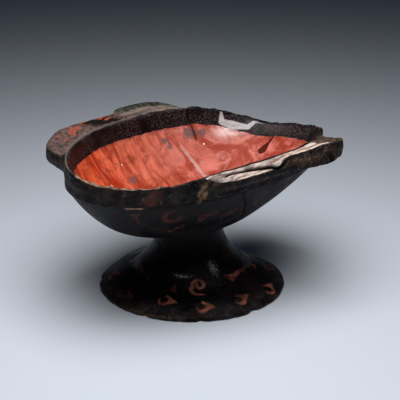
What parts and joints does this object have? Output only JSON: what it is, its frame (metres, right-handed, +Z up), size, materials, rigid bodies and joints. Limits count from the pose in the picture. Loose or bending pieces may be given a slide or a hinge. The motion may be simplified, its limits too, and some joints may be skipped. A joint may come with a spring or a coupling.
{
  "type": "lacquered stem cup",
  "caption": "Oval lacquered wooden cup with side ears, one broken away, on a waisted stem with a spreading round foot.",
  "frame": {"origin": "centre of the foot's flat underside, on the ground", "axes": "+Z up out of the bowl's mouth, +X along the bowl's length towards its worn end, +Y towards the whole ear"},
  "size_m": [0.1758, 0.1458, 0.0928],
  "materials": {
    "bowl_lacquer": "worn black lacquer on wood, with red lacquer inside the bowl and bare pale wood at the broken ear",
    "foot_lacquer": "worn black lacquer on wood with dull red painted scrolls"
  },
  "bodies": {
    "root": {"cup_bowl": "bowl_lacquer", "stem_foot": "foot_lacquer"}
  },
  "joints": []
}
